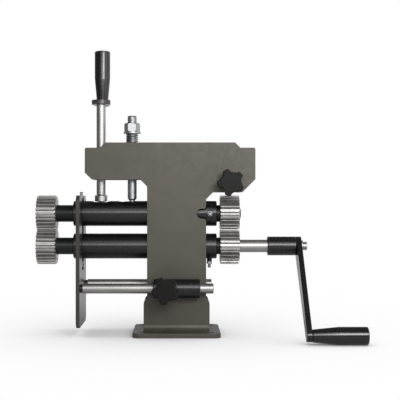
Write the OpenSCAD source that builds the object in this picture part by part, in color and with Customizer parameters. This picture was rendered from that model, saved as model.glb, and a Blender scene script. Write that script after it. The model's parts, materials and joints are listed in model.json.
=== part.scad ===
// Hand cranked bead roller for a bench, in millimetres.
// X runs along the shafts towards the crank, Y away from the front, Z up.
// The origin is the centre of the base plate's underside.

/* [Base] */
// Width of the base plate, along the shafts
base_w = 150; // [140:1:180]
// Depth of the base plate, front to back
base_d = 125; // [110:1:160]
// Thickness of the base plate
base_t = 8; // [6:1:12]
// Corner radius of the base plate
base_corner_r = 11; // [4:1:16]
// Diameter of the four bench bolt holes
bolt_hole_d = 13; // [9:0.5:14]
// Spacing of the bench bolts along X
bolt_span_x = 115; // [110:1:120]
// Spacing of the bench bolts along Y
bolt_span_y = 90; // [85:1:92]

/* [Frame plates] */
// Thickness of each of the two T-shaped plates
plate_t = 6; // [5:0.5:8]
// Clear gap between the two plates
plate_gap = 45; // [44.8:0.1:50]
// Height of the top edge
frame_top_z = 333; // [328:1:345]
// Drop of the outer end of each arm below the top edge
arm_step = 9; // [4:1:14]
// Width of the upright column
column_w = 102; // [96:1:110]
// Width of the column's flared foot
foot_w = 114; // [104:1:120]
// X of the left arm's tip
arm_left_x = -158.5; // [-165:0.5:-152]
// X of the right arm's tip
arm_right_x = 136; // [130:1:150]
// Width of the open slot in the front plate
slot_w = 17; // [12:1:20]

/* [Shaft housings] */
// Height of the lower shaft
lower_z = 153; // [150:0.5:156]
// Distance between the two shafts
shaft_gap = 57; // [56.8:0.1:57.4]
// Outer diameter of a housing tube
tube_d = 44; // [40:0.5:44.6]
// Diameter of the shafts
shaft_d = 22; // [20:1:23]
// X of the tubes' left ends
tube_left = -180; // [-184:1:-176]
// X of the tubes' right ends
tube_right = 70; // [66:1:70]

/* [Rolls and gears] */
// Diameter over the teeth
tip_d = 63.3; // [62:0.1:63.4]
// Width of a roll or a drive gear
wheel_w = 33.5; // [28:0.5:35]
// Diameter of the spacer collars
collar_d = 29.5; // [27:0.5:32]

/* [Pressure screw] */
// X of the pressure screw
spindle_x = -132.5; // [-134:0.5:-131]
// Diameter of the pressure screw and of the lift stud
spindle_d = 16; // [14:1:16]
// Height of the underside of the short crank on top
press_arm_z = 400.7; // [390:0.1:410]
// Radius of the short crank
press_arm_r = 30; // [28:1:42]

/* [Lift stud] */
// X of the spring-loaded stud
stud_x = -78; // [-82:1:-74]
// Height of the stud's top
stud_top_z = 381; // [378:1:390]
// Height of the washer that rests on the spring
washer_z = 350; // [349:0.5:352]
// Thickness of the spring wire
wire_d = 2.1; // [1.6:0.1:2.2]
// Turns of the spring
spring_turns = 4.25; // [3.5:0.25:4.5]

/* [Crank] */
// Radius of the crank
crank_r = 192.5; // [185:0.5:230]
// Diameter of the crank's grip
grip_d = 29.5; // [26:0.5:29.5]
// Thickness of the crank arm
crank_arm_t = 9; // [7:0.5:9]

/* [Depth stop] */
// Height of the guide rods
rod_z = 82.6; // [80:0.1:86]
// Distance between the guide rods
rod_span = 90; // [90:0.5:92]
// Diameter of the guide rods
rod_d = 17; // [14:0.5:18]
// Width of the stop plate, front to back
stop_w = 116; // [112:1:124]
// Thickness of the stop plate
stop_t = 6.5; // [5:0.5:8]

/* [Star knobs] */
// Diameter over the lobes
knob_d = 46; // [44:1:52]
// X of the rod clamp's knob
clamp_x = -19; // [-28:1:28]

/* [Hidden] */
$fn = 64;

// Running clearance, on the radius, and the small gap kept between faces that slide or turn
run_fit = 0.05;
face_gap = 0.2;

// Frame
inner_y = plate_gap / 2;
outer_y = inner_y + plate_t;
upper_z = lower_z + shaft_gap;
column_x = column_w / 2;
foot_x = foot_w / 2;
flare_z = 53;
flare_h = 10.4;
arm_chamfer = 12;
arm_tip_r = 3;
left_arm_z = 269;
right_arm_z = 247;
slot_end_x = 34.6;
slot_mouth_r = 5;
weld_r = 11;

// Pivot of the upper housing, hidden between the plates
pivot_x = 40;
pivot_z = 245;
pivot_r = 6;
lug_r = 9;
lug_w = 16;
pin_blind = 3;
pin_head_r = 9;
pin_head_t = 5;

// Housings
tube_r = tube_d / 2;
tube_bore_r = 12;
bush_r = 14;
bush_len = 25;
shaft_r = shaft_d / 2;
bush_bore_r = shaft_r + run_fit;
boss_r = 4.5;
boss_h = 5;
grease_r = 3;
left_nipple_x = -167;
right_nipple_x = 57.5;

// Rolls and gears, all on one pitch circle at half the distance between the shafts
teeth = 24;
pitch_r = shaft_gap / 2;
tip_r = tip_d / 2;
tooth_step = 360 / teeth;
roll_left = -243.5;
gear_left = 76;
gear_right = gear_left + wheel_w;
roll_right = roll_left + wheel_w;
shaft_left = roll_left + 5.4;
recess_r = 17;
recess_d = 5;
key_w = 6;
key_low = shaft_r - 3.5;
key_high = shaft_r + 2.5;
keyway_high = shaft_r + 2.8;
roll_key = [roll_left + recess_d + 2, wheel_w - recess_d - 2.5];
gear_key = [gear_left + 3, wheel_w - recess_d - 3.5];
end_thread_r = 4;
end_washer_t = 2.6;
clip_groove_d = 0.7;
clip_t = 1.2;

// The rolls only ever open, so their teeth are full and their gaps shallow.
// The drive gears close a little as the housing swings, so theirs are slim and deep.
roll_tooth = [[24.9, 3.2], [pitch_r, 3.2], [tip_r, 1.9]];
gear_tooth = [[22.9, 2.6], [pitch_r, 2.6], [tip_r, 1.2]];

// Pressure screw
spindle_r = spindle_d / 2;
pocket_z = upper_z + tube_r - 1.8;
pocket_flat = 22;
pocket_w = 32;
foot_r = 11;
foot_low = pocket_z + 0.05;
foot_dome = 1.35;
foot_top = 242;
neck_r = 5;
foot_pin_z = 238;
foot_pin_r = 1.5;
groove_r = 3;
foot_pin_x = spindle_x + groove_r + foot_pin_r + 0.1;
press_arm_t = 8;
press_hub_r = 16.5;
press_end_r = 11.5;
press_journal_r = 6;
press_bolt_r = 5;
press_grip_z = press_arm_z + press_arm_t + 0.6;
press_grip_h = 89.5;

// Lift stud, held by its head in a T-slot in the upper tube
slot_neck_r = 5.2;
stud_neck_r = 5;
stud_head_r = 7;
stud_head_z = [223.7, 227.2];
t_slot_z = [223.4, 227.5];
t_slot_r = 7.6;
t_slot_x = [stud_x - 17, stud_x + 0.8];
stud_shoulder_z = 236;
nut_af = 24;
nut_h = 15;
washer_t = 3;
washer_r = 15.2;

// Spring between the frame's top edge and the washer
coil_r = 9.8;
coil_sides = 6;
coil_rings = 8;
coil_low = frame_top_z + wire_d / 2;
coil_high = washer_z - wire_d / 2;
coil_steps = coil_rings * spring_turns;
coil_pitch = (coil_high - coil_low) / spring_turns;
coil_lean = atan(coil_pitch / (2 * PI * coil_r));

// Crank, resting with its grip just clear of the bench, so the angle comes from the heights
hub_left = 159;
hub_r = 16.5;
hub_key = [hub_left + 8, 28];
arm_left = 209;
arm_right = arm_left + crank_arm_t;
grip_r = grip_d / 2;
crank_turned = acos((lower_z - grip_r - 0.1) / crank_r);
grip_y = -crank_r * sin(crank_turned);
grip_z = lower_z - crank_r * cos(crank_turned);
crank_bolt_r = 6;
crank_screw_r = 5;
crank_washer_t = 2.8;
grip_left = arm_right + 0.5;
grip_len = 90;

// Depth stop
rod_y = rod_span / 2;
rod_r = rod_d / 2;
rod_right = 63;
stop_left = -171;
stop_right = stop_left + stop_t;
stop_low = 15.5;
stop_high = 241.5;
stop_chamfer = 8.5;
stop_head_r = 5.5;
stop_slot_w = 30;
stop_slot_z = 111;
stop_hole_r = tube_r + 1.5;
stop_lift = 7.5;
rod_spacer_t = 4;
rod_left = stop_right + rod_spacer_t;
sleeve_r = 16.5;
sleeve_half = 40;

// Star knobs
knob_r = knob_d / 2;
knob_stud_r = 5;
knob_head_t = 20;
lobe_step = 72;
clamp_turned = 45;
guard_turned = 41;
guard_x = 92;
guard_z = 263.5;
clamp_pad_y = rod_y + rod_r + run_fit;
clamp_stud_y = clamp_pad_y + 3;
clamp_knob_y = rod_y + sleeve_r + 0.5;
guard_knob_y = outer_y + 0.3;

// Turns what is drawn upright so that its axis runs along X, Y or towards the front.
module along_x(x, y = 0, z = 0) {
    translate([x, y, z]) rotate([0, 90, 0]) children();
}

module along_y(x, y, z) {
    translate([x, y, z]) rotate([-90, 0, 0]) children();
}

module to_front(x, y, z) {
    translate([x, y, z]) rotate([90, 0, 0]) children();
}

// A turned piece: pairs of radius and height, closed on the axis.
module turned(points) {
    rotate_extrude() polygon(points);
}

// A round bar with both ends chamfered.
module bar(r, h, c = 0.8) {
    turned([[0, 0], [r - c, 0], [r, c], [r, h - c], [r - c, h], [0, h]]);
}

module ring(r, bore, h) {
    difference() {
        cylinder(r = r, h = h);
        translate([0, 0, -1]) cylinder(r = bore, h = h + 2);
    }
}

// A flat outline in X and Z, as thick as t, with its front face at y.
module upright_plate(y, t) {
    translate([0, y + t, 0]) rotate([90, 0, 0]) linear_extrude(t) children();
}

// A flat outline in Y and Z, with its left face at x.
module cross_plate(x, t) {
    translate([x, 0, 0]) rotate([90, 0, 90]) linear_extrude(t) children();
}

function arc(centre, r, from, to, steps = 20) = [for (i = [0:steps])
    let (a = from + (to - from) * i / steps) centre + r * [cos(a), sin(a)]];

// Two round ends and the straight flanks that touch both.
module tapered_bar(r1, r2, length) {
    touch = 90 - asin((r1 - r2) / length);
    polygon(concat(arc([length, 0], r2, touch, -touch), arc([0, 0], r1, -touch, touch - 360)));
}

// Base

module rounded_rectangle(w, d, r) {
    square([w - 2 * r, d], center = true);
    square([w, d - 2 * r], center = true);
    for (x = [-1, 1], y = [-1, 1])
        translate([x * (w / 2 - r), y * (d / 2 - r)]) circle(r);
}

module base_plate() {
    color([0.30, 0.29, 0.27]) linear_extrude(base_t) difference() {
        rounded_rectangle(base_w, base_d, base_corner_r);
        for (x = [-1, 1], y = [-1, 1])
            translate([x * bolt_span_x / 2, y * bolt_span_y / 2]) circle(d = bolt_hole_d);
    }
}

// Frame

// The convex flare from the column to its foot, for the side given by the sign.
function flare(side) = [for (a = [0:15:90])
    [side * (column_x + (foot_x - column_x) * sin(a)), flare_z + flare_h * cos(a)]];

function reversed(list) = [for (i = [len(list) - 1:-1:0]) list[i]];

module frame_outline() {
    step_z = frame_top_z - arm_step;
    corner = arm_right_x - 22.5;
    polygon(concat(
        [[foot_x, base_t]], reversed(flare(1)),
        [[column_x, right_arm_z - arm_chamfer], [column_x + arm_chamfer, right_arm_z],
        [corner, right_arm_z], [arm_right_x, right_arm_z + 22.5]],
        arc([arm_right_x - arm_tip_r, step_z - arm_tip_r], arm_tip_r, 0, 90, 4),
        [[arm_right_x - 26, step_z], [arm_right_x - 26 - arm_step, frame_top_z],
        [arm_left_x + 26.5 + arm_step, frame_top_z], [arm_left_x + 26.5, step_z]],
        arc([arm_left_x + arm_tip_r, step_z - arm_tip_r], arm_tip_r, 90, 180, 4),
        [[arm_left_x, left_arm_z + arm_chamfer],
        [arm_left_x + arm_chamfer, left_arm_z], [-column_x - arm_chamfer, left_arm_z],
        [-column_x, left_arm_z - arm_chamfer]],
        flare(-1), [[-foot_x, base_t]]
    ));
}

// The open slot at the column's right edge, with a round end and an eased mouth.
module edge_slot() {
    half = slot_w / 2;
    translate([slot_end_x + half, upper_z]) circle(half);
    translate([slot_end_x + half, upper_z - half]) square([column_x, slot_w]);
    for (side = [-1, 1]) translate([column_x, upper_z + side * half]) difference() {
        translate([-slot_mouth_r, side > 0 ? 0 : -slot_mouth_r]) square([2 * slot_mouth_r, slot_mouth_r]);
        translate([-slot_mouth_r, side * slot_mouth_r]) circle(slot_mouth_r);
    }
}

// The concave fillet along the foot of a plate, on its outer side.
module weld_fillet(side) {
    cross_plate(-foot_x, foot_w) polygon(concat(
        [[side * outer_y, base_t]],
        [for (a = [0:9:90])
            [side * (outer_y + weld_r - weld_r * cos(a)), base_t + weld_r - weld_r * sin(a)]]
    ));
}

module front_plate() {
    color([0.42, 0.40, 0.37]) union() {
        difference() {
            upright_plate(-outer_y, plate_t) difference() {
                frame_outline();
                edge_slot();
                translate([guard_x, guard_z]) circle(knob_stud_r + 0.5);
            }
            along_y(pivot_x, -inner_y - pin_blind, pivot_z) cylinder(r = pivot_r, h = pin_blind + 1);
        }
        weld_fillet(-1);
    }
}

module rear_plate() {
    color([0.42, 0.40, 0.37]) union() {
        upright_plate(inner_y, plate_t) difference() {
            frame_outline();
            translate([pivot_x, pivot_z]) circle(pivot_r);
        }
        weld_fillet(1);
    }
}

// A block that fills the gap between the plates.
module gap_block(x, z, w, h) {
    translate([x - w / 2, -inner_y, z]) cube([w, plate_gap, h]);
}

module spindle_block() {
    color([0.25, 0.25, 0.25]) difference() {
        gap_block(spindle_x, 284, 39, 37);
        translate([spindle_x, 0, 280]) cylinder(r = spindle_r + run_fit, h = 50);
    }
}

module stud_block() {
    color([0.25, 0.25, 0.25]) difference() {
        gap_block(stud_x, frame_top_z - 33, 40, 33);
        translate([stud_x, 0, frame_top_z - 40]) cylinder(r = spindle_r + run_fit, h = 50);
    }
}

module arm_block() {
    color([0.25, 0.25, 0.25]) difference() {
        gap_block(guard_x, guard_z - 12, 28, 26);
        to_front(guard_x, 5, guard_z) cylinder(r = knob_stud_r + run_fit, h = inner_y + 10);
    }
}

module column_block() {
    color([0.25, 0.25, 0.25]) gap_block(0, rod_z - 6.6, 80, 13);
}

module tube_saddle() {
    color([0.25, 0.25, 0.25]) difference() {
        gap_block(0, 115, 96, 30);
        along_x(-60, 0, lower_z) cylinder(r = tube_r, h = 120);
    }
}

// Housings, drawn on the shaft's own axis

// Sends what stands on the tube out to the given side: 0 is up, 90 the front, 180 down.
module out_of_tube(x, side) {
    translate([x, 0, 0]) rotate([side, 0, 0]) children();
}

// A housing with its grease bosses. The first child is added to it, and the second is cut from it.
module tube(left_side, right_side) {
    length = tube_right - tube_left;
    difference() {
        union() {
            along_x(tube_left) bar(tube_r, length, 1);
            out_of_tube(left_nipple_x, left_side)
                translate([0, 0, tube_r - 3]) cylinder(r = boss_r, h = boss_h + 3);
            out_of_tube(right_nipple_x, right_side)
                translate([0, 0, tube_r - 3]) cylinder(r = boss_r, h = boss_h + 3);
            if ($children > 0) children(0);
        }
        along_x(tube_left - 1) cylinder(r = tube_bore_r, h = length + 2);
        along_x(tube_left - 1) cylinder(r = bush_r, h = bush_len + 1);
        along_x(tube_right - bush_len) cylinder(r = bush_r, h = bush_len + 1);
        out_of_tube(left_nipple_x, left_side) cylinder(r = grease_r, h = tube_r + boss_h + 1);
        out_of_tube(right_nipple_x, right_side) cylinder(r = grease_r, h = tube_r + boss_h + 1);
        if ($children > 1) children(1);
    }
}

module bush(x, nipple_x, side) {
    difference() {
        along_x(x) ring(bush_r, bush_bore_r, bush_len);
        out_of_tube(nipple_x, side) cylinder(r = 1.5, h = bush_r + 2);
    }
}

module bushes(left_side, right_side) {
    bush(tube_left, left_nipple_x, left_side);
    bush(tube_right - bush_len, right_nipple_x, right_side);
}

// A grease nipple: shank, hexagon, neck and ball.
module nipple(x, side) {
    out_of_tube(x, side) translate([0, 0, tube_r + boss_h]) union() {
        translate([0, 0, -6]) cylinder(r = grease_r, h = 6);
        cylinder(d = 8 / cos(30), h = 4, $fn = 6);
        turned([[0, 4], [3, 4], [2.2, 6.2], [3.1, 7.4], [3.1, 9.2], [1.6, 11], [0, 11]]);
    }
}

module lower_tube() {
    color([0.12, 0.12, 0.12]) translate([0, 0, lower_z]) tube(180, 180);
}

module lower_bushes() {
    color([0.72, 0.53, 0.25]) translate([0, 0, lower_z]) bushes(180, 180);
}

module lower_nipples() {
    color([0.75, 0.75, 0.74]) translate([0, 0, lower_z]) {
        nipple(left_nipple_x, 180);
        nipple(right_nipple_x, 180);
    }
}

// The lug that the upper housing swings on.
module swing_lug() {
    rise = pivot_z - upper_z;
    translate([pivot_x - lug_r, -lug_w / 2, tube_r - 4]) cube([2 * lug_r, lug_w, rise - tube_r + 4]);
    along_y(pivot_x, -lug_w / 2, rise) cylinder(r = lug_r, h = lug_w);
}

// The shallow seat milled across the tube for the pressure foot.
module foot_pocket() {
    low = pocket_z - upper_z;
    slope = (pocket_w - pocket_flat) / 2 / (tube_r - low);
    over = 4;
    upright_plate(-tube_r, tube_d) polygon([
        [spindle_x - pocket_flat / 2, low], [spindle_x + pocket_flat / 2, low],
        [spindle_x + pocket_flat / 2 + slope * over, low + over],
        [spindle_x - pocket_flat / 2 - slope * over, low + over]
    ]);
}

// The keyhole T-slot that the stud's head is slid into.
module t_slot() {
    low = t_slot_z[0] - upper_z;
    high = t_slot_z[1] - upper_z;
    length = t_slot_x[1] - t_slot_x[0];
    translate([t_slot_x[0], 0, low]) cylinder(r = t_slot_r, h = 20);
    translate([t_slot_x[1], 0, low]) cylinder(r = t_slot_r, h = high - low);
    translate([t_slot_x[0], -t_slot_r, low]) cube([length, 2 * t_slot_r, high - low]);
    translate([t_slot_x[1], 0, low]) cylinder(r = slot_neck_r, h = 20);
    translate([t_slot_x[0], -slot_neck_r, low]) cube([length, 2 * slot_neck_r, 20]);
}

module upper_tube() {
    color([0.12, 0.12, 0.12]) translate([0, 0, upper_z]) tube(0, 90) {
        swing_lug();
        union() {
            along_y(pivot_x, -lug_w, pivot_z - upper_z) cylinder(r = pivot_r + run_fit, h = 2 * lug_w);
            foot_pocket();
            t_slot();
        }
    }
}

module upper_bushes() {
    color([0.72, 0.53, 0.25]) translate([0, 0, upper_z]) bushes(0, 90);
}

module upper_nipples() {
    color([0.75, 0.75, 0.74]) translate([0, 0, upper_z]) {
        nipple(left_nipple_x, 0);
        nipple(right_nipple_x, 90);
    }
}

module swing_pin() {
    length = inner_y + pin_blind + outer_y;
    color([0.6, 0.6, 0.6]) union() {
        along_y(pivot_x, -inner_y - pin_blind, pivot_z) cylinder(r = pivot_r, h = length);
        along_y(pivot_x, outer_y, pivot_z) bar(pin_head_r, pin_head_t);
    }
}

module pin_spacers() {
    length = inner_y - lug_w / 2 - face_gap;
    color([0.5, 0.5, 0.5]) for (y = [-inner_y, inner_y - length])
        along_y(pivot_x, y, pivot_z) ring(lug_r, pivot_r, length);
}

// Shafts, drawn on their own axis

// The space of a key, given as its left end and length, between two heights above the axis.
module key_space(place, low, high) {
    translate([place[0], -key_w / 2, low]) cube([place[1], key_w, high - low]);
}

// A shaft with its two keyways and its roll screw's hole, less its children.
module shaft(left, right) {
    difference() {
        along_x(left) bar(shaft_r, right - left, 1);
        key_space(roll_key, key_low, shaft_r + 1);
        key_space(gear_key, key_low, shaft_r + 1);
        along_x(left - 1) cylinder(r = end_thread_r, h = 20);
        children();
    }
}

module keys() {
    key_space(roll_key, key_low, key_high);
    key_space(gear_key, key_low, key_high);
}

module collars() {
    along_x(roll_right) ring(collar_d / 2, shaft_r, tube_left - face_gap - roll_right);
    along_x(tube_right + face_gap) ring(collar_d / 2, shaft_r, gear_left - tube_right - face_gap);
}

// One tooth's outline about the +X direction, as radius and tooth width pairs.
function tooth(form, turn) = concat(
    [for (p = form) p[0] * [cos(turn - width_angle(p)), sin(turn - width_angle(p))]],
    [for (p = reversed(form)) p[0] * [cos(turn + width_angle(p)), sin(turn + width_angle(p))]]
);

// Half of a tooth's width, as an angle at its radius.
function width_angle(p) = p[1] / 2 / p[0] * 180 / PI;

// A toothed wheel with a keyed bore and a recessed end, drawn upright.
module toothed_wheel(form, offset_steps, bevel, recess_low) {
    difference() {
        intersection() {
            linear_extrude(wheel_w)
                polygon([for (i = [0:teeth - 1]) each tooth(form, (i + offset_steps) * tooth_step)]);
            bar(tip_r, wheel_w, bevel);
        }
        translate([0, 0, -1]) cylinder(r = shaft_r, h = wheel_w + 2);
        translate([0, 0, recess_low ? -1 : wheel_w - recess_d]) cylinder(r = recess_r, h = recess_d + 1);
        translate([-keyway_high, -key_w / 2, -1]) cube([keyway_high, key_w, wheel_w + 2]);
    }
}

// The screw and washer that hold a wheel on the end of its shaft.
module end_washer() {
    ring(recess_r - 1, end_thread_r, end_washer_t);
}

module end_screw(head_r, head_h) {
    difference() {
        union() {
            translate([0, 0, -18]) cylinder(r = end_thread_r, h = 19);
            bar(head_r, head_h, 0.6);
        }
        translate([0, 0, head_h - 1.6]) cylinder(d = 5 / cos(30), h = 2, $fn = 6);
    }
}

module lower_shaft() {
    color([0.78, 0.78, 0.77]) translate([0, 0, lower_z]) shaft(shaft_left, arm_left - 0.5) {
        key_space(hub_key, key_low, shaft_r + 1);
        along_x(arm_left - 25) cylinder(r = crank_screw_r, h = 26);
        along_x(gear_right - recess_d) ring(shaft_r + 1, shaft_r - clip_groove_d, clip_t + 0.1);
    }
}

module lower_keys() {
    color([0.45, 0.45, 0.45]) translate([0, 0, lower_z]) {
        keys();
        key_space(hub_key, key_low, key_high);
    }
}

module lower_collars() {
    color([0.10, 0.10, 0.10]) translate([0, 0, lower_z]) collars();
}

module lower_roll() {
    color([0.74, 0.74, 0.72]) along_x(roll_left, 0, lower_z) toothed_wheel(roll_tooth, 0.5, 1.4, true);
}

module lower_gear() {
    color([0.74, 0.74, 0.72]) along_x(gear_left, 0, lower_z) toothed_wheel(gear_tooth, 0, 1, false);
}

module lower_roll_washer() {
    color([0.7, 0.7, 0.7]) along_x(shaft_left - end_washer_t - 0.4, 0, lower_z) end_washer();
}

module lower_roll_screw() {
    color([0.2, 0.2, 0.2]) translate([shaft_left - end_washer_t - 0.4, 0, lower_z]) rotate([0, -90, 0])
        end_screw(7, 2.2);
}

// An open snap ring in the shaft's groove.
module lower_gear_clip() {
    color([0.2, 0.2, 0.2]) along_x(gear_right - recess_d, 0, lower_z) difference() {
        ring(shaft_r + 4.5, shaft_r - clip_groove_d, clip_t);
        translate([0, -3, -1]) cube([30, 6, 4]);
    }
}

module upper_shaft() {
    color([0.78, 0.78, 0.77]) translate([0, 0, upper_z])
        shaft(shaft_left, gear_right - recess_d - 0.4)
            along_x(gear_right - 25) cylinder(r = end_thread_r, h = 26);
}

module upper_keys() {
    color([0.45, 0.45, 0.45]) translate([0, 0, upper_z]) keys();
}

module upper_collars() {
    color([0.10, 0.10, 0.10]) translate([0, 0, upper_z]) collars();
}

module upper_roll() {
    color([0.74, 0.74, 0.72]) along_x(roll_left, 0, upper_z) toothed_wheel(roll_tooth, 0, 1.4, true);
}

module upper_gear() {
    color([0.74, 0.74, 0.72]) along_x(gear_left, 0, upper_z) toothed_wheel(gear_tooth, 0.5, 1, false);
}

module upper_washers() {
    color([0.7, 0.7, 0.7]) {
        along_x(shaft_left - end_washer_t - 0.4, 0, upper_z) end_washer();
        along_x(gear_right - recess_d, 0, upper_z) end_washer();
    }
}

module upper_screws() {
    color([0.2, 0.2, 0.2]) {
        translate([shaft_left - end_washer_t - 0.4, 0, upper_z]) rotate([0, -90, 0]) end_screw(7, 2.2);
        along_x(gear_right - recess_d + end_washer_t, 0, upper_z) end_screw(8.3, 5.2);
    }
}

// Crank

// A grip that runs on a bolt, with its narrow end at the bottom and its bolt's head sunk in the top.
module grip(narrow_r, wide_r, taper, length, bolt_r, head_r, head_depth) {
    difference() {
        turned([[0, 0], [narrow_r - 1, 0], [narrow_r, 1], [wide_r, taper], [wide_r, length - 2],
            [wide_r - 0.6, length - 0.6], [wide_r - 2, length], [0, length]]);
        translate([0, 0, -1]) cylinder(r = bolt_r + run_fit, h = length + 2);
        translate([0, 0, length - head_depth]) cylinder(r = head_r + 0.8, h = head_depth + 1);
    }
}

// The bolt of a grip, from its flush end to its head with a hexagon socket.
module grip_bolt(r, length, head_r, head_h) {
    difference() {
        union() {
            cylinder(r = r, h = length + 1);
            translate([0, 0, length]) bar(head_r, head_h);
        }
        translate([0, 0, length + head_h - 3]) cylinder(d = 8 / cos(30), h = 4, $fn = 6);
    }
}

module crank_hub() {
    color([0.10, 0.10, 0.10]) difference() {
        along_x(hub_left, 0, lower_z) bar(hub_r, arm_left - hub_left, 1);
        along_x(hub_left - 1, 0, lower_z) cylinder(r = shaft_r, h = 60);
        translate([0, 0, lower_z]) key_space([hub_left - 1, 60], 0, keyway_high);
    }
}

module crank_arm() {
    color([0.10, 0.10, 0.10]) along_x(arm_left, 0, lower_z) rotate([0, 0, -crank_turned])
        linear_extrude(crank_arm_t) difference() {
            tapered_bar(hub_r, 10, crank_r);
            circle(crank_screw_r);
            translate([crank_r, 0]) circle(crank_bolt_r);
        }
}

module crank_washer() {
    color([0.7, 0.7, 0.7]) along_x(arm_right, 0, lower_z) ring(10, crank_screw_r, crank_washer_t);
}

module crank_screw() {
    color([0.2, 0.2, 0.2]) along_x(arm_right + crank_washer_t, 0, lower_z) difference() {
        union() {
            translate([0, 0, -30]) cylinder(r = crank_screw_r, h = 31);
            bar(7.25, 7.7);
        }
        translate([0, 0, 4.2]) cylinder(d = 8 / cos(30), h = 4, $fn = 6);
    }
}

module crank_bolt() {
    color([0.7, 0.7, 0.7]) along_x(arm_left, grip_y, grip_z)
        grip_bolt(crank_bolt_r, grip_left - arm_left + grip_len - 13.8, 9, 6);
}

module crank_grip() {
    color([0.10, 0.10, 0.10]) along_x(grip_left, grip_y, grip_z)
        grip(10.5, grip_r, 42.5, grip_len, crank_bolt_r, 9, 14);
}

// Pressure screw

module press_foot() {
    color([0.72, 0.72, 0.72]) difference() {
        translate([spindle_x, 0, 0]) turned(concat(
            [for (i = [0:6]) [foot_r * i / 6, foot_low + foot_dome * pow(i / 6, 2)]],
            [[foot_r, foot_top - 1], [foot_r - 1, foot_top], [neck_r + run_fit, foot_top],
            [neck_r + run_fit, foot_top - 8.5], [0, foot_top - 8.5]]
        ));
        along_y(foot_pin_x, -7, foot_pin_z) cylinder(r = foot_pin_r, h = 20);
    }
}

module foot_pin() {
    color([0.5, 0.5, 0.5]) along_y(foot_pin_x, -7, foot_pin_z) cylinder(r = foot_pin_r, h = 16.5);
}

module press_spindle() {
    low = foot_top - 8;
    top = press_arm_z + press_arm_t;
    color([0.78, 0.78, 0.78]) translate([spindle_x, 0, 0]) turned([
        [0, low], [neck_r - 0.6, low], [neck_r, low + 0.6], [neck_r, foot_pin_z - 1.8],
        [groove_r, foot_pin_z - 1.8], [groove_r, foot_pin_z + 1.8], [neck_r, foot_pin_z + 1.8],
        [neck_r, foot_top + 0.1], [spindle_r - 1, foot_top + 0.1], [spindle_r, foot_top + 1.1],
        [spindle_r, press_arm_z], [press_journal_r, press_arm_z], [press_journal_r, top], [0, top]
    ]);
}

module press_arm() {
    color([0.30, 0.30, 0.30]) translate([spindle_x, 0, press_arm_z]) rotate([0, 0, 90])
        linear_extrude(press_arm_t) difference() {
            tapered_bar(press_hub_r, press_end_r, press_arm_r);
            circle(press_journal_r);
            translate([press_arm_r, 0]) circle(press_bolt_r);
        }
}

module press_bolt() {
    color([0.7, 0.7, 0.7]) translate([spindle_x, press_arm_r, press_arm_z])
        grip_bolt(press_bolt_r, press_grip_z - press_arm_z + press_grip_h - 13.8, 8, 6);
}

module press_grip() {
    color([0.10, 0.10, 0.10]) translate([spindle_x, press_arm_r, press_grip_z])
        grip(10.1, 13.65, 39.3, press_grip_h, press_bolt_r, 8, 14);
}

// Lift stud

module lift_stud() {
    color([0.75, 0.76, 0.77]) translate([stud_x, 0, 0]) turned([
        [0, stud_head_z[0]], [stud_head_r, stud_head_z[0]], [stud_head_r, stud_head_z[1]],
        [stud_neck_r, stud_head_z[1]], [stud_neck_r, stud_shoulder_z - 2.5],
        [spindle_r - 2.5, stud_shoulder_z - 2.5], [spindle_r, stud_shoulder_z],
        [spindle_r, stud_top_z - 1.5], [spindle_r - 1.5, stud_top_z], [0, stud_top_z]
    ]);
}

module lift_nut() {
    bevel = nut_af / 2 * (1 / cos(30) - 1);
    corner = nut_af / 2 / cos(30);
    color([0.75, 0.76, 0.77]) translate([stud_x, 0, washer_z + washer_t]) difference() {
        intersection() {
            cylinder(r = corner, h = nut_h, $fn = 6);
            bar(corner, nut_h, bevel);
        }
        translate([0, 0, -1]) cylinder(r = spindle_r, h = nut_h + 2);
    }
}

module lift_washer() {
    color([0.75, 0.76, 0.77]) translate([stud_x, 0, washer_z]) ring(washer_r, spindle_r + 0.2, washer_t);
}

// Spring: one open coil of round wire

// Centre of the wire at step i.
function coil_point(i) = [
    coil_r * cos(360 * i / coil_rings), coil_r * sin(360 * i / coil_rings),
    coil_low + (coil_high - coil_low) * i / coil_steps
];

// One ring of points round the wire, square to the helix.
function coil_ring(i) = let (a = 360 * i / coil_rings, out = [cos(a), sin(a), 0],
    up = [sin(a) * sin(coil_lean), -cos(a) * sin(coil_lean), cos(coil_lean)])
    [for (k = [0:coil_sides - 1]) coil_point(i)
        + wire_d / 2 * (out * cos(360 * k / coil_sides) + up * sin(360 * k / coil_sides))];

coil_gap = min([for (i = [0:coil_steps], j = [0:coil_steps])
    if (j - i > coil_rings / 2) norm(coil_point(i) - coil_point(j))]) - wire_d;
echo(least_gap_of_the_spring_to_itself = coil_gap);

module lift_spring() {
    last = coil_steps * coil_sides;
    color([0.65, 0.65, 0.65]) translate([stud_x, 0, 0]) polyhedron(
        points = [for (i = [0:coil_steps]) each coil_ring(i)],
        faces = concat(
            [for (i = [0:coil_steps - 1], k = [0:coil_sides - 1])
                let (a = i * coil_sides + k, b = i * coil_sides + (k + 1) % coil_sides)
                each [[a, b, b + coil_sides], [a, b + coil_sides, a + coil_sides]]],
            [for (k = [1:coil_sides - 2]) [0, k + 1, k]],
            [for (k = [1:coil_sides - 2]) [last, last + k, last + k + 1]]
        )
    );
}

// Depth stop

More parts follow.
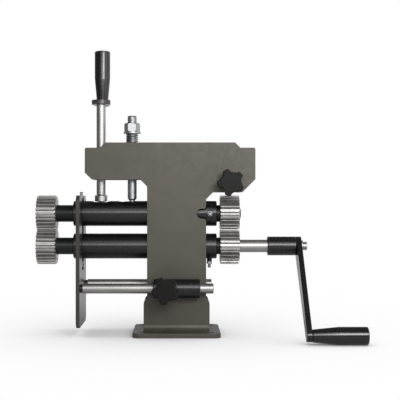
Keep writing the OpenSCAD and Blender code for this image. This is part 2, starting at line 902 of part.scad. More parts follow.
module stop_plate() {
    half = stop_w / 2;
    color([0.22, 0.22, 0.22]) cross_plate(stop_left, stop_t) difference() {
        polygon([
            [-half + stop_chamfer, stop_low], [half - stop_chamfer, stop_low],
            [half, stop_low + stop_chamfer], [half, stop_high - stop_chamfer],
            [half - stop_chamfer, stop_high], [-half + stop_chamfer, stop_high],
            [-half, stop_high - stop_chamfer], [-half, stop_low + stop_chamfer]
        ]);
        translate([0, lower_z]) circle(stop_hole_r);
        translate([0, upper_z]) circle(stop_hole_r);
        translate([0, upper_z + stop_lift]) circle(stop_hole_r);
        translate([-stop_hole_r, upper_z]) square([2 * stop_hole_r, stop_lift]);
        translate([-stop_slot_w / 2, stop_slot_z]) square([stop_slot_w, stop_high]);
        for (side = [-1, 1]) translate([side * rod_y, rod_z]) circle(stop_head_r);
    }
}

module guide_rod(side) {
    color([0.78, 0.78, 0.78]) along_x(rod_left, side * rod_y, rod_z) difference() {
        bar(rod_r, rod_right - rod_left);
        translate([0, 0, -1]) cylinder(r = 3, h = 19);
    }
}

module front_rod() {
    guide_rod(-1);
}

module rear_rod() {
    guide_rod(1);
}

module rod_spacers() {
    color([0.10, 0.10, 0.10]) for (side = [-1, 1])
        along_x(stop_right, side * rod_y, rod_z) ring(6.9, 3, rod_spacer_t);
}

// Screws with their heads sunk flush in the stop plate, into the rods.
module stop_screws() {
    color([0.2, 0.2, 0.2]) for (side = [-1, 1]) along_x(stop_left, side * rod_y, rod_z) difference() {
        union() {
            cylinder(r = 3, h = 21);
            bar(stop_head_r, stop_t, 0.4);
        }
        translate([0, 0, -1]) cylinder(d = 4 / cos(30), h = 3.3, $fn = 6);
    }
}

// A guide sleeve on the outer face of a plate, on a short foot of its own.
module sleeve(side) {
    pad = 14;
    difference() {
        union() {
            along_x(-sleeve_half, side * rod_y, rod_z) bar(sleeve_r, 2 * sleeve_half, 1);
            translate([-sleeve_half + 2, side > 0 ? outer_y : -outer_y - 6, rod_z - pad / 2])
                cube([2 * sleeve_half - 4, 6, pad]);
        }
        along_x(-sleeve_half - 1, side * rod_y, rod_z)
            cylinder(r = rod_r + run_fit, h = 2 * sleeve_half + 2);
        children();
    }
}

module front_sleeve() {
    color([0.10, 0.10, 0.10]) sleeve(-1)
        to_front(clamp_x, -rod_y, rod_z) cylinder(r = knob_stud_r + run_fit, h = 30);
}

module rear_sleeve() {
    color([0.10, 0.10, 0.10]) sleeve(1);
}

// Star knobs, drawn upright on their studs

module star_knob(hub_h, turned_by) {
    bite_r = 14;
    difference() {
        union() {
            cylinder(r = 10, h = hub_h + 1);
            intersection() {
                translate([0, 0, hub_h]) rotate([0, 0, turned_by]) linear_extrude(knob_head_t)
                    difference() {
                        circle(knob_r);
                        for (i = [0:4]) rotate([0, 0, (i + 0.5) * lobe_step])
                            translate([knob_r + 10, 0]) circle(bite_r);
                    }
                translate([0, 0, hub_h]) turned([[0, 0], [knob_r - 5, 0], [knob_r, 4],
                    [knob_r, knob_head_t - 3], [knob_r - 1, knob_head_t - 1], [knob_r - 3, knob_head_t],
                    [0, knob_head_t]]);
            }
        }
        translate([0, 0, -1]) cylinder(r = knob_stud_r, h = hub_h + 10);
    }
}

module clamp_pad() {
    color([0.72, 0.53, 0.25]) union() {
        to_front(clamp_x, -clamp_pad_y, rod_z) cylinder(r = knob_stud_r - 0.1, h = 2.9);
        to_front(clamp_x, -clamp_pad_y, rod_z) cylinder(r = 2, h = 6);
    }
}

module clamp_stud() {
    color([0.6, 0.6, 0.6]) to_front(clamp_x, -clamp_stud_y, rod_z) difference() {
        cylinder(r = knob_stud_r, h = clamp_knob_y - clamp_stud_y + 21);
        translate([0, 0, -1]) cylinder(r = 2 + run_fit, h = 5);
    }
}

module clamp_knob() {
    color([0.08, 0.08, 0.08]) to_front(clamp_x, -clamp_knob_y, rod_z) star_knob(12, clamp_turned);
}

module guard_stud() {
    color([0.6, 0.6, 0.6]) to_front(guard_x, 0, guard_z)
        cylinder(r = knob_stud_r, h = guard_knob_y + 23);
}

module guard_knob() {
    color([0.08, 0.08, 0.08]) to_front(guard_x, -guard_knob_y, guard_z) star_knob(14, guard_turned);
}

base_plate();
front_plate();
rear_plate();
spindle_block();
stud_block();
arm_block();
column_block();
tube_saddle();
lower_tube();
lower_bushes();
lower_nipples();
front_sleeve();
rear_sleeve();
swing_pin();
pin_spacers();
lift_spring();
lower_shaft();
lower_collars();
lower_roll();
lower_gear();
lower_keys();
lower_roll_washer();
lower_roll_screw();
lower_gear_clip();
crank_hub();
crank_arm();
crank_washer();
crank_screw();
crank_bolt();
crank_grip();
upper_tube();
upper_bushes();
upper_nipples();
upper_shaft();
upper_collars();
upper_roll();
upper_gear();
upper_keys();
upper_washers();
upper_screws();
press_foot();
foot_pin();
press_spindle();
press_arm();
press_bolt();
press_grip();
lift_stud();
lift_nut();
lift_washer();
stop_plate();
front_rod();
rear_rod();
rod_spacers();
stop_screws();
clamp_pad();
clamp_stud();
clamp_knob();
guard_stud();
guard_knob();
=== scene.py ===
# %% [markdown]
# # A hand-cranked bead roller
# Two toothed rolls press a bead into sheet metal. The lower shaft is turned by a crank, two drive
# gears carry the turn to the upper shaft, and a screw presses the upper housing down. The CAD model
# already has every part in its place, so this lesson only adds what light shows on the real machine:
# broken edges, threads, wound wire, moulded grips, and the finish of each surface.

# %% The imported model
import bpy
import json
from math import cos, pi, radians, sin
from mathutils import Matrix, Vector

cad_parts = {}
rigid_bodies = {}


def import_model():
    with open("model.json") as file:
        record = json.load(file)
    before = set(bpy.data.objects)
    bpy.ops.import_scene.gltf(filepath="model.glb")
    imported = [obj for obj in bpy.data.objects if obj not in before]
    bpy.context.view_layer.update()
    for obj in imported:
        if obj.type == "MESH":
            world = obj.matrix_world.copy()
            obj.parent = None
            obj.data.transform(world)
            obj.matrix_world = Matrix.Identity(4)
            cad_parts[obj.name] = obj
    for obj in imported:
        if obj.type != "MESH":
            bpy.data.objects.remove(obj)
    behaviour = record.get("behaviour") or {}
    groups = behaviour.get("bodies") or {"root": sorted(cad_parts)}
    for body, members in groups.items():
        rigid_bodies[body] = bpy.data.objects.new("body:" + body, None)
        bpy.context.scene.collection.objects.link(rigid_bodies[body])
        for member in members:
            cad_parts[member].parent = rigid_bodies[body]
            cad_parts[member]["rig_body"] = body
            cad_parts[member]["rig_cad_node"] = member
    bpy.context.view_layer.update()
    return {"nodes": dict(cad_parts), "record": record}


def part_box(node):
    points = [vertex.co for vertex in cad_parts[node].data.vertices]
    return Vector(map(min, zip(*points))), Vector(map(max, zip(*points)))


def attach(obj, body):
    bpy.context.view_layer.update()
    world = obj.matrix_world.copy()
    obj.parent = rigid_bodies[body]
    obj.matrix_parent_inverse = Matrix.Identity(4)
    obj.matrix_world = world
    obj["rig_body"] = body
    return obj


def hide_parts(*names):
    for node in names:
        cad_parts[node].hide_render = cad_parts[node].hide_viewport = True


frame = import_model()
slots = {part["node"]: part["material_slot"] for part in frame["record"]["subparts"]}

# %% [markdown]
# ## Small helpers for colour and nodes
# A hex code is how a colour reads on screen, but Cycles counts in linear light, so one function turns
# one into the other. A second one adds any shader node with its settings and links in one call. What
# is linked and what is a plain number both go into the same list of inputs.

# %% Colour and nodes
MM = 0.001


def srgb(code):
    parts = [int(code[i:i + 2], 16) / 255 for i in (1, 3, 5)]
    return (*[p / 12.92 if p <= 0.04045 else ((p + 0.055) / 1.055) ** 2.4 for p in parts], 1.0)


def add_node(tree, kind, inputs=None, **settings):
    node = tree.nodes.new(kind)
    for name, value in settings.items():
        setattr(node, name, value)
    for socket, value in (inputs or {}).items():
        if isinstance(value, bpy.types.NodeSocket):
            tree.links.new(value, node.inputs[socket])
        else:
            node.inputs[socket].default_value = value
    return node


print("powder coat in linear light:", [round(v, 3) for v in srgb("#47433c")])

# %% [markdown]
# ## Patterns with a real size
# Paint ripples, polishing lines and clouds in zinc are all uneven in their own way. Noise on Object
# coordinates makes them: its size is given in millimetres, and a stretch along one axis turns spots
# A painted edge highlight compares the true normal with one that is rounded over an edge: they differ
# only beside an edge, where a lighter colour is painted in for the light that a rounded edge catches.

# %% Uneven surfaces
def uneven(tree, size, stretch=(1, 1, 1), detail=2.0):
    coordinates = add_node(tree, "ShaderNodeTexCoord")
    scaled = add_node(tree, "ShaderNodeMapping", {"Vector": coordinates.outputs["Object"],
        "Scale": [1 / (size * MM * s) for s in stretch]})
    return add_node(tree, "ShaderNodeTexNoise",
        {"Vector": scaled.outputs["Vector"], "Scale": 1.0, "Detail": detail}).outputs["Fac"]


def spread(tree, pattern, low, high, start=0.35, end=0.65):
    return add_node(tree, "ShaderNodeMapRange", {"Value": pattern, "From Min": start,
        "From Max": end, "To Min": low, "To Max": high}).outputs["Result"]


# A lighter colour painted beside every edge and broken into patches: a painted highlight.
def painted_edge_highlight(tree, width, patch):
    rounded = add_node(tree, "ShaderNodeBevel", {"Radius": width * MM}, samples=6)
    plain = add_node(tree, "ShaderNodeNewGeometry")
    same = add_node(tree, "ShaderNodeVectorMath", {0: rounded.outputs["Normal"],
        1: plain.outputs["Normal"]}, operation="DOT_PRODUCT")
    near = spread(tree, same.outputs["Value"], 0.0, 1.0, start=0.995, end=0.9)
    return add_node(tree, "ShaderNodeMath", {0: near, 1: spread(tree, uneven(tree, patch), 0.15, 1.0)},
        operation="MULTIPLY").outputs["Value"]


# %% [markdown]
# ## A finish
# Every finish here has the same three layers: a colour that drifts between two tones, a roughness
# that drifts too, and a bump from one pattern. Values that are the same all over go straight onto
# the shader.

# %% One finish from its tones, gloss and relief
def finish(name, tones, gloss, relief, drift=40, highlight_edges=None, **constant):
    """tones: two hex codes. gloss: two roughness values and the pattern's size and stretch.
    relief: size, stretch and height in mm of the bump. highlight_edges: colour, width and patch size of
    a lighter colour painted along the edges as a highlight."""
    material = bpy.data.materials.new(name)
    material.use_nodes = True
    tree = material.node_tree
    shader = tree.nodes["Principled BSDF"]
    for socket, value in constant.items():
        shader.inputs[socket.replace("_", " ")].default_value = value
    colour = add_node(tree, "ShaderNodeMix", {0: spread(tree, uneven(tree, drift), 0.0, 1.0),
        6: srgb(tones[0]), 7: srgb(tones[1])}, data_type="RGBA").outputs[2]
    # A lighter colour painted along the edges stands in for the light that the edges catch: a painted
    # highlight.
    if highlight_edges:
        colour = add_node(tree, "ShaderNodeMix", {0: painted_edge_highlight(tree, highlight_edges[1], highlight_edges[2]),
            6: colour, 7: srgb(highlight_edges[0])}, data_type="RGBA").outputs[2]
    tree.links.new(colour, shader.inputs["Base Color"])
    low, high, size, stretch = gloss
    tree.links.new(spread(tree, uneven(tree, size, stretch), low, high), shader.inputs["Roughness"])
    size, stretch, height = relief
    bump = add_node(tree, "ShaderNodeBump", {"Height": uneven(tree, size, stretch, detail=1.0),
        "Strength": 1.0, "Distance": height * MM})
    tree.links.new(bump.outputs["Normal"], shader.inputs["Normal"])
    print("finish:", name)
    return material


EVEN = (1, 1, 1)

# %% [markdown]
# ## Paints
# The T-shaped plates and the base are mild steel with a warm grey **powder coat**. The powder melts
# into a skin with ripples a millimetre or so wide, called orange peel, which spread a reflection
# into a broad sheen. The stop plate and the short crank have a darker, smoother **paint**, which
# turns light where it is seen at a flat angle. The tube housings have a **black enamel** with the
# most gloss, which is why a bright line runs along them.

# %% Painted steel
# The lighter edge colour of the powder coat is a painted highlight along its edges.
powder_coat = finish("powder_coat_warm_grey", ("#47433c", "#4c4840"), (0.44, 0.52, 9, EVEN),
    (1.3, EVEN, 0.006), highlight_edges=("#6c6861", 0.9, 6), Metallic=0.35)
# The lighter edge colour of this paint is a painted highlight along its edges.
dark_paint = finish("dark_grey_paint", ("#2f2c28", "#35322e"), (0.28, 0.34, 7, EVEN),
    (1.0, EVEN, 0.006), highlight_edges=("#5c5b57", 0.8, 4), IOR=1.5)
black_enamel = finish("black_enamel", ("#0b0b0c", "#0f0f10"), (0.24, 0.3, 12, EVEN),
    (4, EVEN, 0.0005), IOR=1.5)

# %% [markdown]
# ## Steel in its different states
# **Black oxide** is steel dipped in hot salts: dark, thin and slightly oily. The toothed wheels are
# **hobbed and ground steel**, left bright. Shafts, rods and the screw are **ground bar**: the wheel
# leaves rings round the bar, 0.05 mm apart in truth, drawn here ten times coarser because nothing
# finer shows. **Zinc plate** has clouds a few millimetres across and a faint blue cast. Metals keep
# the shader's own IOR.

# %% Metals
# The lighter edge colour of the black oxide is a painted highlight along its edges.
black_oxide = finish("black_oxide_steel", ("#232324", "#2c2c2d"), (0.3, 0.42, 5, EVEN),
    (0.6, (1, 4, 4), 0.008), highlight_edges=("#55555a", 0.4, 3), Metallic=0.7)
toothed_steel = finish("hobbed_steel", ("#adacaa", "#bab9b6"), (0.43, 0.47, 5, (9, 1, 1)),
    (0.5, (30, 1, 1), 0.0006), drift=14, Metallic=1.0)
ground_bar_x = finish("ground_steel_bar_lying", ("#9f9e9b", "#a7a6a3"), (0.41, 0.46, 0.9, (1, 30, 30)),
    (0.5, (1, 40, 40), 0.0006), Metallic=1.0)
ground_bar_z = finish("ground_steel_bar_upright", ("#9f9e9b", "#a7a6a3"), (0.38, 0.43, 0.9, (30, 30, 1)),
    (0.5, (40, 40, 1), 0.0006), Metallic=1.0)
zinc_plate = finish("zinc_plated_steel", ("#9b9c9f", "#a9aaac"), (0.4, 0.46, 6, EVEN),
    (1.2, EVEN, 0.001), drift=6, Metallic=1.0)
spring_wire = finish("drawn_spring_wire", ("#85858a", "#9a9a9c"), (0.34, 0.46, 2, EVEN),
    (0.5, EVEN, 0.002), drift=5, Metallic=1.0)
bronze = finish("cast_bronze", ("#9a7440", "#a98350"), (0.3, 0.42, 4, EVEN),
    (0.7, EVEN, 0.004), drift=8, Metallic=1.0)

# %% [markdown]
# ## Plastics
# The two grips are **phenolic**, pressed in a polished mould: almost a mirror, black, with faint
# flow ripples. The star knobs are **glass-filled nylon** from a sparked mould. Its pits trap light,
# so the knobs mirror less than the grips and stay an even, soft black.

# %% Moulded plastic
phenolic = finish("polished_phenolic", ("#0a0a0c", "#0e0e10"), (0.16, 0.22, 15, EVEN),
    (9, EVEN, 0.001), IOR=1.55)
nylon = finish("grained_nylon", ("#0d0c0b", "#11100f"), (0.42, 0.48, 4, EVEN),
    (0.45, EVEN, 0.006), IOR=1.53, Specular_IOR_Level=0.15)

surface = {"powder_grey": powder_coat, "plate_grey": dark_paint, "tube_black": black_enamel,
    "black_oxide": black_oxide, "toothed_steel": toothed_steel, "ground_steel": ground_bar_x,
    "zinc": zinc_plate, "bronze": bronze, "handle_black": phenolic, "knob_black": nylon,
    "spring_steel": spring_wire}
upright = ("press_spindle", "press_foot")

# %% [markdown]
# ## Working on one object at a time
# An operator acts on all that is selected, and the CAD nodes are selected after they are loaded.
# So everything is deselected first. A finished piece then gets its material, rides on the body of
# the node that it stands for, and hides that node.

# %% Select, and dress
def only(piece):
    bpy.ops.object.select_all(action="DESELECT")
    piece.select_set(True)
    bpy.context.view_layer.objects.active = piece


def edit(piece, action="SELECT"):
    only(piece)
    bpy.ops.object.mode_set(mode="EDIT")
    bpy.ops.mesh.select_all(action=action)


def done():
    bpy.ops.object.mode_set(mode="OBJECT")


def finish_for(node):
    return ground_bar_z if node in upright else surface[slots[node]]


def dress(piece, node):
    piece.name = piece.data.name = node + "_finished"
    piece.data.materials.clear()
    piece.data.materials.append(finish_for(node))
    body = frame["nodes"][node]["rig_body"]
    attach(piece, body)
    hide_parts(node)
    print(f"{piece.name}: {len(piece.data.polygons)} faces, rides on {body}")


# %% [markdown]
# ## Broken edges
# No real edge is a knife edge: a file, a tumbler or a coat of paint rounds it, and that thin round
# catches light. The shape itself is right in the CAD model, so a copy of it is merged, its flat
# triangles are dissolved into whole faces, and a bevel rounds every edge sharper than its limit.
# Weighted normals then keep the large faces flat.

# %% Copy a node, and round its edges
def copy_of(node):
    only(frame["nodes"][node])
    bpy.ops.object.duplicate()
    piece = bpy.context.object
    del piece["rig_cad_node"]
    bpy.ops.object.parent_clear(type="CLEAR_KEEP_TRANSFORM")
    edit(piece)
    bpy.ops.mesh.remove_doubles(threshold=0.002 * MM)
    bpy.ops.mesh.customdata_custom_splitnormals_clear()
    bpy.ops.mesh.dissolve_limited(angle_limit=radians(0.5))
    done()
    return piece


def smooth(piece, angle=40):
    only(piece)
    bpy.ops.object.shade_smooth_by_angle(angle=radians(angle))
    weighted = piece.modifiers.new("flat faces stay flat", "WEIGHTED_NORMAL")
    weighted.keep_sharp = True
    bpy.ops.object.modifier_apply(modifier=weighted.name)


def break_edges(piece, width, limit=32):
    only(piece)
    bevel = piece.modifiers.new("broken edges", "BEVEL")
    bevel.width = width * MM
    bevel.segments = 3
    bevel.limit_method = "ANGLE"
    bevel.angle_limit = radians(limit)
    bevel.use_clamp_overlap = False
    bpy.ops.object.modifier_apply(modifier=bevel.name)
    smooth(piece)


# %% [markdown]
# ## Plates, wheels and bars
# The width of each round, in millimetres, follows how the part was made: a painted laser-cut plate
# is round, and a ground tooth is nearly sharp.

# %% Pieces whose shape the CAD model gives
edge_width = {
    "base_plate": 0.8, "front_plate": 0.5, "rear_plate": 0.5, "stop_plate": 0.6,
    "spindle_block": 0.4, "stud_block": 0.4, "arm_block": 0.4, "column_block": 0.4,
    "tube_saddle": 0.4, "lower_tube": 0.2, "upper_tube": 0.2, "front_sleeve": 0.3,
    "rear_sleeve": 0.3, "lower_collars": 0.4, "upper_collars": 0.4, "lower_shaft": 0.2,
    "upper_shaft": 0.2, "lower_roll": 0.3, "upper_roll": 0.3, "lower_gear": 0.25,
    "upper_gear": 0.25, "lower_roll_washer": 0.25, "lower_roll_screw": 0.2,
    "lower_gear_clip": 0.2, "upper_washers": 0.25, "upper_screws": 0.2, "crank_hub": 0.6,
    "crank_arm": 1.0, "crank_washer": 0.3, "crank_screw": 0.25, "crank_bolt": 0.25,
    "swing_pin": 0.3, "press_foot": 0.3, "press_arm": 0.9, "press_bolt": 0.25,
    "lift_washer": 0.35, "lift_nut": 0.25, "lower_nipples": 0.15, "upper_nipples": 0.15,
    "front_rod": 0.2, "rear_rod": 0.2, "rod_spacers": 0.2, "stop_screws": 0.15,
}
for node, width in edge_width.items():
    piece = copy_of(node)
    break_edges(piece, width)
    dress(piece, node)

# %% [markdown]
# ## Star knobs
# A knob's head is a disc with five hollows for the fingers, moulded with soft edges all round. So a
# cylinder is made the size of the head, five smaller ones are taken away from it, and a wide bevel
# rounds what is left. Then comes the hub behind the head, and the bore for the stud. The stud tells
# where the axis is, because the box round five lobes isn't centred on it. Sizes are in millimetres.

# %% Cylinders towards the front, put together or taken away
def cylinder(radius, x, z, front, back):
    bpy.ops.object.select_all(action="DESELECT")
    bpy.ops.mesh.primitive_cylinder_add(vertices=96, radius=radius * MM, depth=back - front,
        location=(x, (front + back) / 2, z), rotation=(radians(90), 0, 0))
    bpy.ops.object.transform_apply()
    return bpy.context.object


def combine(piece, tool, operation):
    only(piece)
    step = piece.modifiers.new("combined", "BOOLEAN")
    step.operation, step.solver, step.object = operation, "EXACT", tool
    bpy.ops.object.modifier_apply(modifier=step.name)
    bpy.data.objects.remove(tool)


# %% Knobs
HEAD_R, HEAD_THICK, SOFT_EDGE = 23, 20, 1.5
HOLLOWS, HOLLOW_R, HOLLOW_OUT = 5, 14, 31.3
HUB_R, BORE_R, BORE_IN_HEAD = 10, 5, 9


def star_knob(node, stud, first_hollow):
    front, back = (corner.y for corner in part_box(node))
    low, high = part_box(stud)
    x, z = (low.x + high.x) / 2, (low.z + high.z) / 2
    head = front + HEAD_THICK * MM
    knob = cylinder(HEAD_R, x, z, front, head)
    for step in range(HOLLOWS):
        angle = radians(first_hollow + 360 / HOLLOWS * step)
        hollow = cylinder(HOLLOW_R, x + HOLLOW_OUT * MM * cos(angle), z + HOLLOW_OUT * MM * sin(angle),
            front - MM, head + MM)
        combine(knob, hollow, "DIFFERENCE")
    edit(knob)
    bpy.ops.mesh.dissolve_limited(angle_limit=radians(1))
    done()
    break_edges(knob, SOFT_EDGE)
    combine(knob, cylinder(HUB_R, x, z, head - MM, back), "UNION")
    combine(knob, cylinder(BORE_R, x, z, head - BORE_IN_HEAD * MM, back + MM), "DIFFERENCE")
    smooth(knob)
    dress(knob, node)


star_knob("clamp_knob", "clamp_stud", 81)
star_knob("guard_knob", "guard_stud", 77)

# %% [markdown]
# ## A lathe
# Grips, and anything else that is round about one line, are drawn as half of their outline and spun.
# One vertex is extruded from point to point, the line is spun through a full turn about Z, and the
# seam is merged. The profile is closed round the bore, so the piece is a closed tube.

# %% Turn a profile of radius and height pairs
def turned(profile, steps=72):
    bpy.ops.object.select_all(action="DESELECT")
    bpy.ops.mesh.primitive_plane_add(size=MM, location=(0, 0, 0), enter_editmode=True)
    bpy.ops.mesh.merge(type="CENTER")
    bpy.ops.transform.translate(value=(profile[0][0] * MM, 0, profile[0][1] * MM))
    for here, there in zip(profile, profile[1:]):
        move = ((there[0] - here[0]) * MM, 0, (there[1] - here[1]) * MM)
        bpy.ops.mesh.extrude_region_move(TRANSFORM_OT_translate={"value": move})
    bpy.ops.mesh.select_all(action="SELECT")
    bpy.ops.mesh.spin(steps=steps, angle=2 * pi, center=(0, 0, 0), axis=(0, 0, 1))
    bpy.ops.mesh.select_all(action="SELECT")
    bpy.ops.mesh.remove_doubles(threshold=0.005 * MM)
    bpy.ops.mesh.normals_make_consistent(inside=False)
    done()
    return bpy.context.object


def put_at(piece, x, y, z, lying=False):
    only(piece)
    piece.location = (x * MM, y * MM, z * MM)
    piece.rotation_euler = (0, radians(90) if lying else 0, 0)
    bpy.ops.object.transform_apply()


# %% [markdown]
# ## The two grips
# Both grips widen as a straight cone from a narrow neck to a straight barrel with a soft rim, as the
# photograph shows. Where cone and barrel meet, the mould leaves a crisp knee, rounded by less than a
# millimetre. The bolt's head sits in a recess of the wide end. Sizes are in millimetres.

# %% Half the outline of a grip
RIM, KNEE = 2.2, 0.8
RIM_STEPS = 6


def grip_profile(neck, barrel, taper, length, bore, recess, recess_deep):
    def radius(t):
        past_knee = max(0, t - taper + KNEE)
        return neck + (barrel - neck) * (t / taper - past_knee ** 2 / (4 * KNEE * taper))

    heights = (1, taper - KNEE, taper - KNEE / 2, taper, taper + KNEE / 2, taper + KNEE)
    cone = [(radius(t), t) for t in heights]
    quarter = [a * pi / 2 / RIM_STEPS for a in range(1, RIM_STEPS + 1)]
    rim = [(barrel - RIM + RIM * cos(a), length - RIM + RIM * sin(a)) for a in quarter]
    outside = [(neck - 1, 0), (neck - 0.3, 0.3), *cone, (barrel, length - RIM), *rim]
    inside = [(recess + 0.5, length), (recess, length - 0.5), (recess, length - recess_deep),
        (bore, length - recess_deep), (bore, 0)]
    return [*outside, *inside, (neck - 1, 0)]


# %% Grips
crank_grip = turned(grip_profile(neck=10.5, barrel=14.75, taper=42.5, length=90, bore=6.05, recess=9.8,
    recess_deep=14))
low, high = (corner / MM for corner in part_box("crank_grip"))
put_at(crank_grip, low.x, (low.y + high.y) / 2, (low.z + high.z) / 2, lying=True)
press_grip = turned(grip_profile(neck=10.1, barrel=13.65, taper=39.3, length=89.5, bore=5.05, recess=8.8,
    recess_deep=14))
low, high = (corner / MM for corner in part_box("press_grip"))
put_at(press_grip, (low.x + high.x) / 2, (low.y + high.y) / 2, low.z)
for piece, node in ((crank_grip, "crank_grip"), (press_grip, "press_grip")):
    smooth(piece)
    dress(piece, node)

# %% [markdown]
# ## The spring
# The lift spring is wound from 2.6 mm wire, with a pitch of 3.5 mm, and its ends are ground flat. A
# ring of vertices the size of the wire is swept by a Screw modifier, a little further than needed at
# both ends, and two bisecting planes then grind it flat where it meets the block and the washer.

# %% Wind the wire
COIL_R, WIRE_R, COIL_PITCH = 9.6 * MM, 1.3 * MM, 3.5 * MM
TURNS = 4.25
GROUND_OFF = 0.02 * MM
spring_low, spring_high = (corner.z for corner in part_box("lift_spring"))
stud_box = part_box("lift_stud")
stud_x = (stud_box[0].x + stud_box[1].x) / 2
swept_turns = TURNS + 2 * WIRE_R / COIL_PITCH

bpy.ops.object.select_all(action="DESELECT")
bpy.ops.mesh.primitive_circle_add(vertices=16, radius=WIRE_R, location=(COIL_R, 0, spring_low),
    rotation=(radians(90), 0, 0))
spring = bpy.context.object
bpy.ops.object.transform_apply()
sweep = spring.modifiers.new("wound", "SCREW")
sweep.angle = 2 * pi * swept_turns
sweep.screw_offset = COIL_PITCH * swept_turns
sweep.steps = sweep.render_steps = round(32 * swept_turns)
bpy.ops.object.modifier_apply(modifier=sweep.name)

# %% Grind its ends
for height, above in ((spring_low + GROUND_OFF, False), (spring_high - GROUND_OFF, True)):
    edit(spring)
    bpy.ops.mesh.bisect(plane_co=(0, 0, height), plane_no=(0, 0, 1), use_fill=True,
        clear_inner=not above, clear_outer=above)
    done()
edit(spring)
bpy.ops.mesh.normals_make_consistent(inside=False)
done()
put_at(spring, stud_x / MM, 0, 0)
smooth(spring, 50)
dress(spring, "lift_spring")

# %% [markdown]
# ## The threaded stud
# The upper end of the stud has a fine M16 thread with a pitch of 1.5 mm. It is cut as on a lathe: a
# sharp tool, here a triangle, is swept along a helix by a Screw modifier, and the Boolean modifier
# takes it away from a copy of the plain stud. The cut is shallower than the real one, because from
# here deep grooves would only look dark.

# %% The tool that cuts the thread
THREAD_R, THREAD_PITCH, THREAD_DEPTH, HALF_GROOVE, PROUD = 8.0, 1.5, 0.3, 0.55, 0.2
THREAD_FROM = 339.0


def thread_tool(low, high):
    turns = (high - low) / THREAD_PITCH
    bpy.ops.object.select_all(action="DESELECT")
    bpy.ops.mesh.primitive_circle_add(vertices=3, radius=MM, location=(0, 0, 0))
    tool = bpy.context.object
    outside = THREAD_R + PROUD
    corners = [(THREAD_R - THREAD_DEPTH, 0), (outside, -HALF_GROOVE), (outside, HALF_GROOVE)]
    for vertex, (out, up) in zip(tool.data.vertices, corners):
        vertex.co = (out * MM, 0, (low + up) * MM)
    helix = tool.modifiers.new("helix", "SCREW")
    helix.angle = 2 * pi * turns
    helix.screw_offset = (high - low) * MM
    helix.steps = helix.render_steps = round(36 * turns)
    bpy.ops.object.modifier_apply(modifier=helix.name)
    edit(tool, action="DESELECT")
    bpy.ops.mesh.select_non_manifold()
    bpy.ops.mesh.edge_face_add()
    bpy.ops.mesh.select_all(action="SELECT")
    bpy.ops.mesh.normals_make_consistent(inside=False)
    done()
    return tool


# %% Cut the thread
stud = copy_of("lift_stud")
tool = thread_tool(THREAD_FROM, stud_box[1].z / MM + 1)
put_at(tool, stud_x / MM, 0, 0)
combine(stud, tool, "DIFFERENCE")
smooth(stud, 30)
dress(stud, "lift_stud")

# %% [markdown]
# ## What stays as the CAD model has it
# The pressure screw, the keys, bushes and studs are simple turned or milled bars. Their shape is
# whole already, so they keep their nodes and only get their finish.

# %% Finish for the nodes that stay
for name, node in frame["nodes"].items():
    if not node.hide_render:
        node.data.materials.clear()
        node.data.materials.append(finish_for(name))
        print(f"{name} keeps its node, in {node.data.materials[0].name}")

# %% [markdown]
# ## Floor
# The floor is pale and has no end in view. It shows the soft shadow near the machine, and further
# out it turns into the white of the background. The Ambient Occlusion node tells how much of the
# sky a spot sees. Its normal leans to the front and to the right, where the lamps are, so the shadow
# falls to the left and behind, as in the photograph. Only rays from the camera and from reflections
# see the white, and a reflection sees most of it behind the machine, where the lit background is.
# The light that the floor throws back on the machine stays that of pale paint.

# %% Which rays see the white
def seen_by(tree, glossy):
    path = add_node(tree, "ShaderNodeLightPath")
    mirrored = add_node(tree, "ShaderNodeMath", {0: path.outputs["Is Glossy Ray"], 1: glossy},
        operation="MULTIPLY")
    seen = add_node(tree, "ShaderNodeMath", {0: path.outputs["Is Camera Ray"],
        1: mirrored.outputs["Value"]}, operation="MAXIMUM")
    return add_node(tree, "ShaderNodeMath", {0: seen.outputs["Value"],
        1: path.outputs["Is Transmission Ray"]}, operation="MAXIMUM").outputs["Value"]


# %% Pale floor
SHADOW_REACH = 0.9
TOWARDS_LAMPS = (0.74, -0.52, 0.43)

bpy.ops.object.select_all(action="DESELECT")
bpy.ops.mesh.primitive_circle_add(vertices=96, radius=6.0, fill_type="NGON", location=(0, 0, 0))
floor = bpy.context.object
floor.name = "floor"
floor_paint = bpy.data.materials.new("pale_floor")
floor_paint.use_nodes = True
tree = floor_paint.node_tree
tree.nodes.remove(tree.nodes["Principled BSDF"])
matt = add_node(tree, "ShaderNodeBsdfDiffuse", {"Color": srgb("#d2d2d2")})
white = add_node(tree, "ShaderNodeEmission", {"Color": (1, 1, 1, 1), "Strength": 1.0})
open_sky = add_node(tree, "ShaderNodeAmbientOcclusion", {"Distance": SHADOW_REACH,
    "Normal": TOWARDS_LAMPS}, samples=12)
white_share = spread(tree, open_sky.outputs["AO"], 0.1, 1.0, start=0.36, end=0.96)
spot = add_node(tree, "ShaderNodeSeparateXYZ",
    {0: add_node(tree, "ShaderNodeNewGeometry").outputs["Position"]})
mirrored_share = spread(tree, spot.outputs["Y"], 0.1, 0.8, start=0.1, end=0.5)
amount = add_node(tree, "ShaderNodeMath", {0: seen_by(tree, mirrored_share), 1: white_share},
    operation="MULTIPLY")
mixed = add_node(tree, "ShaderNodeMixShader", {0: amount.outputs["Value"],
    1: matt.outputs["BSDF"], 2: white.outputs["Emission"]})
tree.links.new(mixed.outputs["Shader"], tree.nodes["Material Output"].inputs["Surface"])
floor.data.materials.append(floor_paint)
print("floor: radius 6 m, shadow reaches", SHADOW_REACH, "m")

# %% [markdown]
# ## Light
# A long softbox in front, a little above the camera, draws the thin bright line along the tubes. A
# smaller, brighter one to its right gives the grips their glint and the plates their gradient
# towards the top right corner. A dim one above and one far to the right fill in.

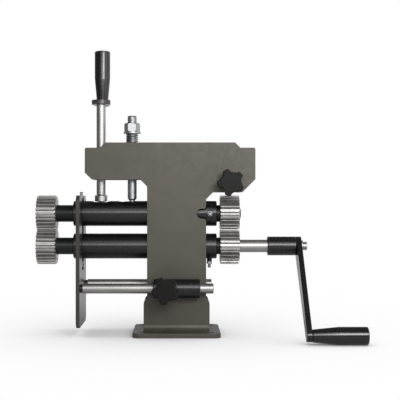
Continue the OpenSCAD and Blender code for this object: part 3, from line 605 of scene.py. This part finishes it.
# %% Softboxes
def softbox(name, spot, aim, size, power):
    light = bpy.data.lights.new(name, "AREA")
    light.shape = "RECTANGLE"
    light.size, light.size_y = size
    light.energy = power
    lamp = bpy.data.objects.new(name, light)
    bpy.context.scene.collection.objects.link(lamp)
    lamp.location = spot
    lamp.rotation_euler = (Vector(aim) - Vector(spot)).to_track_quat("-Z", "Y").to_euler()
    print(f"softbox {name}: {power} W, {size[0]} by {size[1]} m")


softbox("key", (0.22, -1.22, 0.54), (0.1, 0, 0.2), (1.1, 0.3), 5.5)
softbox("key_core", (0.42, -1.2, 0.66), (0.05, 0, 0.22), (0.46, 0.3), 5.2)
softbox("above", (0.1, -1.2, 1.05), (0, 0, 0.2), (1.1, 0.6), 3.2)
softbox("right", (1.35, -0.75, 0.6), (0, 0, 0.25), (0.8, 0.9), 2.5)

# %% [markdown]
# ## World
# The studio's walls are white for what is seen and mirrored, and a plain grey as light, so that the
# background is white without washing out the machine.

# %% World
ROOM_LIGHT = 0.45

world = bpy.data.worlds.new("studio")
bpy.context.scene.world = world
world.use_nodes = True
tree = world.node_tree
tree.nodes.clear()
seen = add_node(tree, "ShaderNodeBackground", {"Color": (1, 1, 1, 1), "Strength": 1.0})
room = add_node(tree, "ShaderNodeBackground", {"Color": (1, 1, 1, 1), "Strength": ROOM_LIGHT})
both = add_node(tree, "ShaderNodeMixShader", {0: seen_by(tree, 1.0), 1: room.outputs["Background"],
    2: seen.outputs["Background"]})
add_node(tree, "ShaderNodeOutputWorld", {"Surface": both.outputs["Shader"]})
print("world: white where seen, strength", ROOM_LIGHT, "as light")

# %% [markdown]
# ## Dark cloth
# Bright steel only shows its round form when it has something dark to mirror, so photographers hang
# cloth round it. Cards of grey cloth stand low behind the camera, to the left, and in an arch over
# the machine. Such cards are called flags. Only reflections see them: they hide nothing and throw no
# shadow.

# %% Grey cloth
grey_cloth = bpy.data.materials.new("grey_cloth")
grey_cloth.use_nodes = True
tree = grey_cloth.node_tree
dull = add_node(tree, "ShaderNodeBsdfDiffuse", {"Color": srgb("#a0a0a0")})
tree.links.new(dull.outputs["BSDF"], tree.nodes["Material Output"].inputs["Surface"])


def card(name, spot, turn, size):
    bpy.ops.object.select_all(action="DESELECT")
    bpy.ops.mesh.primitive_plane_add(size=1, location=spot, rotation=[radians(a) for a in turn])
    piece = bpy.context.object
    piece.name = name
    piece.scale = (*size, 1)
    piece.data.materials.append(grey_cloth)
    for ray in ("camera", "diffuse", "transmission", "shadow"):
        setattr(piece, "visible_" + ray, False)
    print(f"{name}: {size[0]} by {size[1]} m")


# %% Cards of cloth
ARCH_R, ARCH_CARDS, FIRST_ANGLE, ANGLE_STEP = 1.8, 5, 40, 26

card("flag_low", (0, -1.9, 0.14), (90, 0, 0), (4, 0.28))
card("flag_left", (-1.7, -0.1, 0.9), (0, 90, 0), (1.8, 3.8))
for step in range(ARCH_CARDS):
    angle = FIRST_ANGLE + ANGLE_STEP * step
    card("flag_tent_" + str(step), (-0.5, -ARCH_R * cos(radians(angle)), ARCH_R * sin(radians(angle))),
        (90 - angle, 0, 0), (2.8, 0.9))

# %% [markdown]
# ## Camera
# The photograph was taken from 1.62 m in front of the machine's middle, level, and 235 mm above the
# bench, so parallel edges stay parallel. The shift only moves the machine to its place in the frame.
# Focal length, middle and horizon were measured in the photograph's pixels, and are turned into the
# millimetres and shifts that Blender's camera counts in.

# %% Camera
PHOTO_WIDE, FOCAL_PX, MIDDLE_PX, HORIZON_PX = 400, 923, 176.6, 199
AWAY, EYE_HEIGHT = 1.62, 0.2354

camera = bpy.data.cameras.new("camera")
camera.sensor_width = 36.0
camera.lens = camera.sensor_width * FOCAL_PX / PHOTO_WIDE
camera.shift_x = 0.5 - MIDDLE_PX / PHOTO_WIDE
camera.shift_y = HORIZON_PX / PHOTO_WIDE - 0.5
eye = bpy.data.objects.new("camera", camera)
bpy.context.scene.collection.objects.link(eye)
eye.location = (0, -AWAY, EYE_HEIGHT)
eye.rotation_euler = (radians(90), 0, 0)
bpy.context.scene.camera = eye
bpy.context.scene.view_settings.view_transform = "Standard"
print("lens in mm:", round(camera.lens, 2), "shift:", round(camera.shift_x, 4), round(camera.shift_y, 4))
